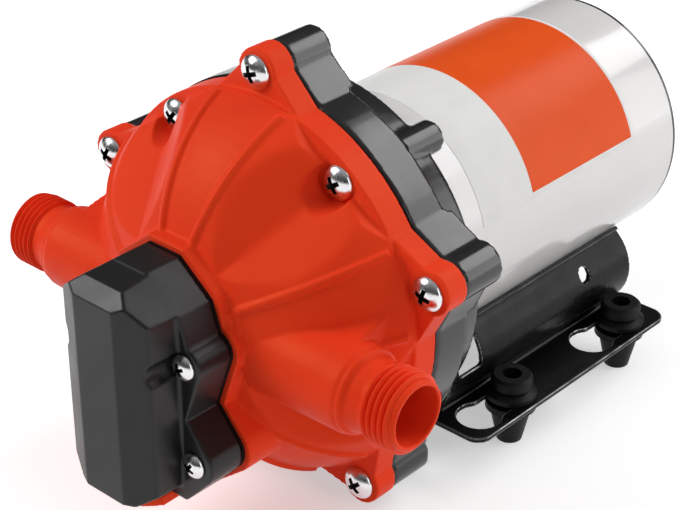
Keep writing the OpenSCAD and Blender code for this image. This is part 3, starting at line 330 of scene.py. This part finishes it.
def new_object(name, mesh, *materials):
    """An object of the scene with its materials, which its faces name by number."""
    numbers = [face.material_index for face in mesh.polygons]
    mesh.materials.clear()
    for material in materials:
        mesh.materials.append(material)
    for face, number in zip(mesh.polygons, numbers):
        face.material_index = min(number, len(materials) - 1)
    piece = bpy.data.objects.new(name, mesh)
    bpy.context.scene.collection.objects.link(piece)
    return piece


def applied(piece):
    """Turns a piece's modifiers into its mesh."""
    graph = bpy.context.evaluated_depsgraph_get()
    mesh = bpy.data.meshes.new_from_object(piece.evaluated_get(graph))
    piece.modifiers.clear()
    piece.data = mesh


def shade_smooth(piece, angle=None):
    """Smooth shading, with creases sharper than an angle in degrees kept."""
    mesh = piece.data
    mesh.shade_smooth()
    if angle is not None:
        mesh.set_sharp_from_angle(angle=math.radians(angle))


def round_edges(piece, name, width, angle):
    """Bevels the edges of a piece that are sharper than an angle in degrees."""
    bevel = piece.modifiers.new(name, "BEVEL")
    bevel.width = width
    bevel.segments = EDGE_SEGMENTS
    bevel.limit_method = "ANGLE"
    bevel.angle_limit = math.radians(angle)


def from_points(name, points, faces, material):
    """An object from its points and faces, with its faces turned outwards."""
    mesh = bpy.data.meshes.new(name)
    mesh.from_pydata(points, [], faces)
    shape = bmesh.new()
    shape.from_mesh(mesh)
    bmesh.ops.remove_doubles(shape, verts=shape.verts, dist=POINT_WELD)
    bmesh.ops.recalc_face_normals(shape, faces=shape.faces)
    shape.to_mesh(mesh)
    shape.free()
    return new_object(name, mesh, material)


def weld(mesh, distance):
    """Joins the points of a mesh that lie closer than a distance, and drops the faces that this closes."""
    shape = bmesh.new()
    shape.from_mesh(mesh)
    bmesh.ops.remove_doubles(shape, verts=shape.verts, dist=distance)
    bmesh.ops.dissolve_degenerate(shape, dist=distance, edges=shape.edges)
    shape.to_mesh(mesh)
    shape.free()


def copy_of(node, name, material):
    """A new object with a copy of a node's mesh, welded."""
    mesh = nodes[node].data.copy()
    weld(mesh, WELD)
    return new_object(name, mesh, material)


def soften(piece, voxel, passes):
    """Rounds every edge of a piece the way a moulding's edges are round."""
    remesh = piece.modifiers.new("remesh", "REMESH")
    remesh.mode = "VOXEL"
    remesh.voxel_size = voxel
    smooth = piece.modifiers.new("smooth", "SMOOTH")
    smooth.factor = SMOOTH_FACTOR
    smooth.iterations = passes
    applied(piece)
    shade_smooth(piece)


def lathe(name, profile, steps, material):
    """Closed profile of (radius, height) points turned about the Z axis."""
    count = len(profile)
    turns = [2 * math.pi * i / steps for i in range(steps)]
    points = [(r * math.cos(turn), r * math.sin(turn), z) for turn in turns for r, z in profile]
    faces = []
    for i in range(steps):
        here, there = i * count, (i + 1) % steps * count
        for k in range(count):
            after = (k + 1) % count
            faces.append((here + k, here + after, there + after, there + k))
    return from_points(name, points, faces, material)


def joined(name, mesh, places, *materials):
    """One object with a copy of a mesh at each place."""
    shape = bmesh.new()
    for place in places:
        part = mesh.copy()
        part.transform(place)
        shape.from_mesh(part)
        bpy.data.meshes.remove(part)
    whole = bpy.data.meshes.new(name)
    shape.to_mesh(whole)
    shape.free()
    return new_object(name, whole, *materials)


# Screws with a cross recess
FORWARD = Matrix.Rotation(math.radians(90), 4, "X")
CROWN_FLATNESS = 1.2
CROWN_RINGS = 10
SCREW_STEPS = 64
LIP_SHARE = 0.12
# How far the recess's bars run past the crown
RECESS_OVER = 0.5 * MM
# Shares of a bar's length and width at the recess's bottom and at its top
RECESS_LOW = (0.55, 0.7)
RECESS_TOP = (1.1, 1.1)
# Faces this far under the crown and within this share of a bar's length belong to the recess, which is
# painted dark as painted shade
RECESS_SKIN = 0.2 * MM
RECESS_REACH = 0.6
BAR_FACES = ((0, 1, 2, 3), (4, 5, 6, 7), (0, 1, 5, 4), (1, 2, 6, 5), (2, 3, 7, 6), (3, 0, 4, 7))
SCREW_EDGE = 0.12 * MM
SCREW_EDGE_ANGLE = 40
SCREW_WELD = 0.02 * MM
SCREW_CREASE = 35
# Angles at which the recesses came to rest when the screws were tightened
LUG_TURNS = (20, 65, 8, 40, 75)
INNER_TURNS = (30, 55, 12)
EAR_TURNS = (10, 35, 22, 60)


def recess_bar(bar_len, bar_w, low_z, top_z, turn):
    """One bar of a cross recess, which widens towards its top."""
    corners = []
    for z, (long, wide) in ((low_z, RECESS_LOW), (top_z, RECESS_TOP)):
        corners += [(sx * long * bar_len / 2, sy * wide * bar_w / 2, z) for sx, sy in SQUARE]
    bar = from_points("bar", corners, BAR_FACES, chrome)
    bar.data.transform(Matrix.Rotation(math.radians(turn), 4, "Z"))
    return bar


def cross_head(head_r, head_h, shank_r, shank_len, bar_len, bar_w, depth):
    """Mesh of a screw: its seat is at z = 0, its domed head above and its shank below."""
    crown_r = CROWN_FLATNESS * (head_r ** 2 + head_h ** 2) / (2 * head_h)

    def crown_z(r):
        return head_h - crown_r + math.sqrt(crown_r ** 2 - r ** 2)

    edge_h = crown_z(head_r)
    crown = [(head_r * i / CROWN_RINGS, crown_z(head_r * i / CROWN_RINGS)) for i in range(CROWN_RINGS)]
    # The lip turns down from the crown, stands upright and turns in to the seat
    lip = LIP_SHARE * head_r
    side = [(head_r - lip / 3, edge_h + lip / 6), (head_r, edge_h - lip / 2), (head_r, lip / 2),
            (head_r - lip / 2, 0)]
    shank = [(shank_r, 0), (shank_r, -shank_len), (0, -shank_len)]
    body = lathe("screw", crown + side + shank, SCREW_STEPS, chrome)
    bars = [recess_bar(bar_len, bar_w, head_h - depth, head_h + RECESS_OVER, turn) for turn in (0, 90)]
    for bar in bars:
        cut = body.modifiers.new("recess", "BOOLEAN")
        cut.operation = "DIFFERENCE"
        cut.solver = "EXACT"
        cut.object = bar
    round_edges(body, "edge", SCREW_EDGE, SCREW_EDGE_ANGLE)
    bpy.context.view_layer.update()
    applied(body)
    for bar in bars:
        bpy.data.objects.remove(bar)
    mesh = body.data
    bpy.data.objects.remove(body)
    weld(mesh, SCREW_WELD)
    # The faces inside the recess take the dark colour of painted shade
    mesh.materials.append(recess_shade)
    for face in mesh.polygons:
        r = math.hypot(face.center.x, face.center.y)
        if r < RECESS_REACH * bar_len and face.center.z > 0:
            face.material_index = int(face.center.z < crown_z(r) - RECESS_SKIN)
    return mesh


def screw_places(points, y, turns):
    """Places of screws that face the front, from their X and height over the pump axis."""
    return [Matrix.Translation((x, y, AXIS_Z + z)) @ FORWARD @ Matrix.Rotation(math.radians(turn), 4, "Z")
            for (x, z), turn in zip(points, turns)]


def add_screws(name, mesh, places, node):
    """One object for all screws of a node."""
    piece = joined(name, mesh, places, chrome, recess_shade)
    shade_smooth(piece, SCREW_CREASE)
    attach(piece, "housing")
    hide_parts(node)


large_screw = cross_head(head_r=4.7 * MM, head_h=2.8 * MM, shank_r=2.5 * MM, shank_len=12 * MM,
                         bar_len=5.2 * MM, bar_w=1.3 * MM, depth=1.9 * MM)
small_screw = cross_head(head_r=3.6 * MM, head_h=2.4 * MM, shank_r=2 * MM, shank_len=12 * MM,
                         bar_len=3.9 * MM, bar_w=1 * MM, depth=1.6 * MM)
lug_places = screw_places(LUG_POINTS, LUG_SEAT_Y, LUG_TURNS)
inner_places = screw_places(INNER_POINTS, INNER_SEAT_Y, INNER_TURNS)
ear_places = screw_places(EAR_POINTS, EAR_SEAT_Y, EAR_TURNS)
add_screws("lug_screws", large_screw, lug_places, "head_screws")
add_screws("flange_screws", large_screw, inner_places, "inner_screws")
add_screws("ear_screws", small_screw, ear_places, "cover_screws")


# Pump head with soft moulded edges
def thread_zone(piece):
    """Draws the smooth cylinder under each port's thread in to the thread's root."""
    for vertex in piece.data.vertices:
        x, y, z = vertex.co
        off = Vector((y - PORT_Y, z - PORT_Z))
        on_port = abs(x) > THREAD_START - THREAD_SLACK
        if on_port and THREAD_CORE_R < off.length < THREAD_CREST_R + THREAD_SLACK:
            off *= THREAD_ROOT_R / THREAD_CREST_R
            vertex.co = (x, PORT_Y + off.x, PORT_Z + off.y)


def between(value, low, high):
    """0 below the first limit, 1 above the second, and a straight line between them."""
    return min(1, max(0, (value - low) / (high - low)))


def valley_share(point, normal):
    """How freely a point is smoothed: 1 on the open floor of a valley, 0 on ribs, seats, screws and ports."""
    if normal.y > FRONT_NORMAL_Y:
        return 0
    across = Vector((point.x, point.z - AXIS_Z))
    angle = math.degrees(math.atan2(across.y, across.x))
    off_valley = abs((angle - INNER_ANGLES[0] + CHAMBER_STEP / 2) % CHAMBER_STEP - CHAMBER_STEP / 2)
    to_rib = across.length * math.sin(math.radians(CHAMBER_STEP / 2 - RIB_ANGLE - off_valley))
    to_screw = min(math.dist(across, screw) for screw in INNER_POINTS)
    to_port = PORT_ROOM_R + BLEND
    if abs(point.x) > PORT_FOOT_X:
        to_port = math.hypot(point.y - PORT_Y, point.z - PORT_Z)
    return min(between(to_rib, RIB_ROOM, RIB_ROOM + BLEND),
               between(across.length, SEAT_ROOM_R, SEAT_ROOM_R + BLEND),
               1 - between(across.length, RIM_ROOM_R - BLEND, RIM_ROOM_R),
               between(to_port, PORT_ROOM_R, PORT_ROOM_R + BLEND),
               between(to_screw, SCREW_ROOM_R, SCREW_ROOM_R + BLEND))


def blend_valleys(piece, passes):
    """Lets each chamber run into the valleys beside it, with its ribs kept crisp."""
    group = piece.vertex_groups.new(name="valleys")
    for vertex in piece.data.vertices:
        share = valley_share(vertex.co, vertex.normal)
        if share > 0:
            group.add([vertex.index], share, "REPLACE")
    smooth = piece.modifiers.new("blend", "SMOOTH")
    smooth.factor = SMOOTH_FACTOR
    smooth.iterations = passes
    smooth.vertex_group = group.name
    applied(piece)
    shade_smooth(piece)


head = copy_of("pump_head", "head_moulding", orange)
thread_zone(head)
soften(head, voxel=0.4 * MM, passes=3)
blend_valleys(head, passes=90)
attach(head, "housing")
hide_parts("pump_head")


def port_thread(name, side):
    """Helical ridge of a pipe thread that runs out at both ends."""
    turns = (PORT_END - THREAD_START) / THREAD_PITCH - 1
    count = int(turns * THREAD_STEPS)
    low = THREAD_ROOT_R - RIDGE_SINK
    points, faces = [], []
    for i in range(count + 1):
        angle = 2 * math.pi * i / THREAD_STEPS
        fade = min(1, min(i, count - i) / (RIDGE_FADE * THREAD_STEPS))
        middle = THREAD_START + THREAD_PITCH * (RIDGE_FIRST + i / THREAD_STEPS)
        for along, up in RIDGE_SECTION:
            r = low + up * fade * (THREAD_CREST_R - low)
            points.append((side * (middle + along * THREAD_PITCH), PORT_Y + r * math.cos(angle),
                           PORT_Z + side * r * math.sin(angle)))
    size = len(RIDGE_SECTION)
    for i in range(count):
        for k in range(size):
            a, b = i * size + k, i * size + (k + 1) % size
            faces.append((a, b, b + size, a + size))
    faces.append(tuple(range(size)))
    faces.append(tuple(range(count * size, count * size + size)))
    ridge = from_points(name, points, faces, orange)
    round_edges(ridge, "crest", RIDGE_EDGE, RIDGE_EDGE_ANGLE)
    applied(ridge)
    shade_smooth(ridge, RIDGE_CREASE)
    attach(ridge, "housing")


port_thread("outlet_ridges", 1)
port_thread("inlet_ridges", -1)

# Drive housing and switch cover with soft moulded edges
housing = copy_of("drive_housing", "housing_moulding", black)
soften(housing, voxel=0.6 * MM, passes=4)
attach(housing, "housing")
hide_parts("drive_housing")

cover = copy_of("switch_cover", "cover_moulding", cover_black)
soften(cover, voxel=0.4 * MM, passes=4)
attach(cover, "housing")
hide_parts("switch_cover")


# Label on the can
LABEL_ACROSS, LABEL_ALONG = 64, 8
LABEL_GAP = 0.01 * MM
LABEL_CREASE = 40


def label(name, front_y, rear_y, from_angle, to_angle, lift, material):
    """Thin sheet that follows the can between two stations and two angles."""
    across, along = LABEL_ACROSS, LABEL_ALONG
    points, faces = [], []
    for layer in (0, 1):
        r = CAN_R + LABEL_GAP + lift * layer
        for i in range(across + 1):
            x, z = on_circle(r, from_angle + (to_angle - from_angle) * i / across)
            for k in range(along + 1):
                points.append((x, front_y + (rear_y - front_y) * k / along, AXIS_Z + z))
    row, sheet = along + 1, (across + 1) * (along + 1)
    for i in range(across):
        for k in range(along):
            a = i * row + k
            faces.append((a, a + 1, a + row + 1, a + row))
            faces.append((a + sheet, a + row + sheet, a + row + 1 + sheet, a + 1 + sheet))
    edge = ([i * row for i in range(across + 1)] + [across * row + k for k in range(1, row)]
            + [i * row + along for i in range(across - 1, -1, -1)] + list(range(along - 1, 0, -1)))
    for a, b in zip(edge, edge[1:] + edge[:1]):
        faces.append((a, b, b + sheet, a + sheet))
    piece = from_points(name, points, faces, material)
    shade_smooth(piece, LABEL_CREASE)
    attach(piece, "housing")


label("label_base", front_y=-36.2 * MM, rear_y=34 * MM, from_angle=14, to_angle=166, lift=0.08 * MM,
      material=label_white)
label("label_panel", front_y=-14.2 * MM, rear_y=32.8 * MM, from_angle=17, to_angle=163, lift=0.14 * MM,
      material=label_orange)

# Bracket with softened edges
bracket = copy_of("base_bracket", "bracket_pressing", enamel)
soften(bracket, voxel=0.45 * MM, passes=3)
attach(bracket, "housing")
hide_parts("base_bracket")


# Springs, which the sliding pieces press, each with a mesh of its own
COIL_CREASE = 60


def pressed_spring(node, name):
    """A spring that a sliding piece presses towards its fixed end."""
    coil = copy_of(node, name, steel)
    shade_smooth(coil, COIL_CREASE)
    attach(coil, "housing")
    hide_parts(node)
    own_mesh(coil)


pressed_spring("switch_spring", "switch_coil")
pressed_spring("brush_spring_left", "brush_coil_left")
pressed_spring("brush_spring_right", "brush_coil_right")


# Floor, light and camera
PUMP_MIDDLE = Vector((0, 0, AXIS_Z))
SENSOR_MM = 36
LENS_MM = 101.09
CAMERA_PLACE = (0.3082, -0.3938, 0.3171)
SIGHT_LINE = Vector((-0.584, 0.6435, -0.4949))
# Heights on the unit sphere and the greys of the studio there
WORLD_RAMP = ((0.25, 0.12), (0.95, 1))
WORLD_STRENGTH = 0.36
FLOOR_HALF = 3
# Glow of the floor beside the pump, where its shadow falls, and far out, where the lamps do not reach
FLOOR_GLOW, FAR_GLOW = 0.45, 1
GLOW_FROM, GLOW_TO = 0.5, 1.6


def studio_white(name):
    """Floor paint that photographs white and still takes the object's shadow."""
    material, tree, shader = new_material(name, linear(240, 240, 240), roughness=0.9, specular=0.0)
    path = tree.nodes.new("ShaderNodeLightPath")
    seen = tree.nodes.new("ShaderNodeMath")
    seen.operation = "MAXIMUM"
    tree.links.new(path.outputs["Is Camera Ray"], seen.inputs[0])
    tree.links.new(path.outputs["Is Glossy Ray"], seen.inputs[1])
    place = tree.nodes.new("ShaderNodeTexCoord")
    distance = tree.nodes.new("ShaderNodeVectorMath")
    distance.operation = "LENGTH"
    tree.links.new(place.outputs["Object"], distance.inputs[0])
    glow = tree.nodes.new("ShaderNodeMapRange")
    glow.inputs["From Min"].default_value = GLOW_FROM
    glow.inputs["From Max"].default_value = GLOW_TO
    glow.inputs["To Min"].default_value = FLOOR_GLOW
    glow.inputs["To Max"].default_value = FAR_GLOW
    tree.links.new(distance.outputs["Value"], glow.inputs["Value"])
    lit = tree.nodes.new("ShaderNodeMath")
    lit.operation = "MULTIPLY"
    tree.links.new(seen.outputs["Value"], lit.inputs[0])
    tree.links.new(glow.outputs["Result"], lit.inputs[1])
    shader.inputs["Emission Color"].default_value = WHITE
    tree.links.new(lit.outputs["Value"], shader.inputs["Emission Strength"])
    return material


corners = [(x * FLOOR_HALF, y * FLOOR_HALF, 0) for x, y in SQUARE]
floor = from_points("floor", corners, [(0, 1, 2, 3)], studio_white("floor_paint"))


def set_world():
    """White studio that is brighter above than at the horizon."""
    world = bpy.data.worlds.new("studio")
    bpy.context.scene.world = world
    world.use_nodes = True
    tree = world.node_tree
    light = tree.nodes["Background"]
    place = tree.nodes.new("ShaderNodeTexCoord")
    split = tree.nodes.new("ShaderNodeSeparateXYZ")
    tree.links.new(place.outputs["Generated"], split.inputs["Vector"])
    ramp = tree.nodes.new("ShaderNodeValToRGB")
    for stop, (height, grey) in zip(ramp.color_ramp.elements, WORLD_RAMP):
        stop.position = height
        stop.color = (grey, grey, grey, 1)
    tree.links.new(split.outputs["Z"], ramp.inputs["Fac"])
    tree.links.new(ramp.outputs["Color"], light.inputs["Color"])
    light.inputs["Strength"].default_value = WORLD_STRENGTH
    white = tree.nodes.new("ShaderNodeBackground")
    white.inputs["Color"].default_value = WHITE
    path = tree.nodes.new("ShaderNodeLightPath")
    choose = tree.nodes.new("ShaderNodeMixShader")
    tree.links.new(path.outputs["Is Camera Ray"], choose.inputs["Fac"])
    tree.links.new(light.outputs["Background"], choose.inputs[1])
    tree.links.new(white.outputs["Background"], choose.inputs[2])
    tree.links.new(choose.outputs["Shader"], tree.nodes["World Output"].inputs["Surface"])


def area_light(name, place, size, power):
    """Soft box that points at the middle of the pump."""
    lamp = bpy.data.lights.new(name, "AREA")
    lamp.shape = "RECTANGLE"
    lamp.size, lamp.size_y = size
    lamp.energy = power
    box = bpy.data.objects.new(name, lamp)
    box.location = place
    box.rotation_euler = (PUMP_MIDDLE - Vector(place)).to_track_quat("-Z", "Y").to_euler()
    bpy.context.scene.collection.objects.link(box)


set_world()
area_light("key", place=(-0.75, -0.75, 0.85), size=(0.6, 0.6), power=10)
area_light("back", place=(0.36, 0.78, 0.86), size=(0.8, 0.5), power=5.5)
area_light("side", place=(0.78, 0.72, 0.34), size=(0.6, 0.66), power=3.4)
area_light("fill", place=(0.95, -0.35, 0.4), size=(0.3, 0.7), power=1.6)


def set_camera():
    """Camera fitted to the photograph."""
    lens = bpy.data.cameras.new("camera")
    lens.sensor_width = SENSOR_MM
    lens.lens = LENS_MM
    eye = bpy.data.objects.new("camera", lens)
    eye.location = CAMERA_PLACE
    eye.rotation_euler = SIGHT_LINE.to_track_quat("-Z", "Y").to_euler()
    bpy.context.scene.collection.objects.link(eye)
    bpy.context.scene.camera = eye


set_camera()
bpy.context.scene.view_settings.view_transform = "Standard"
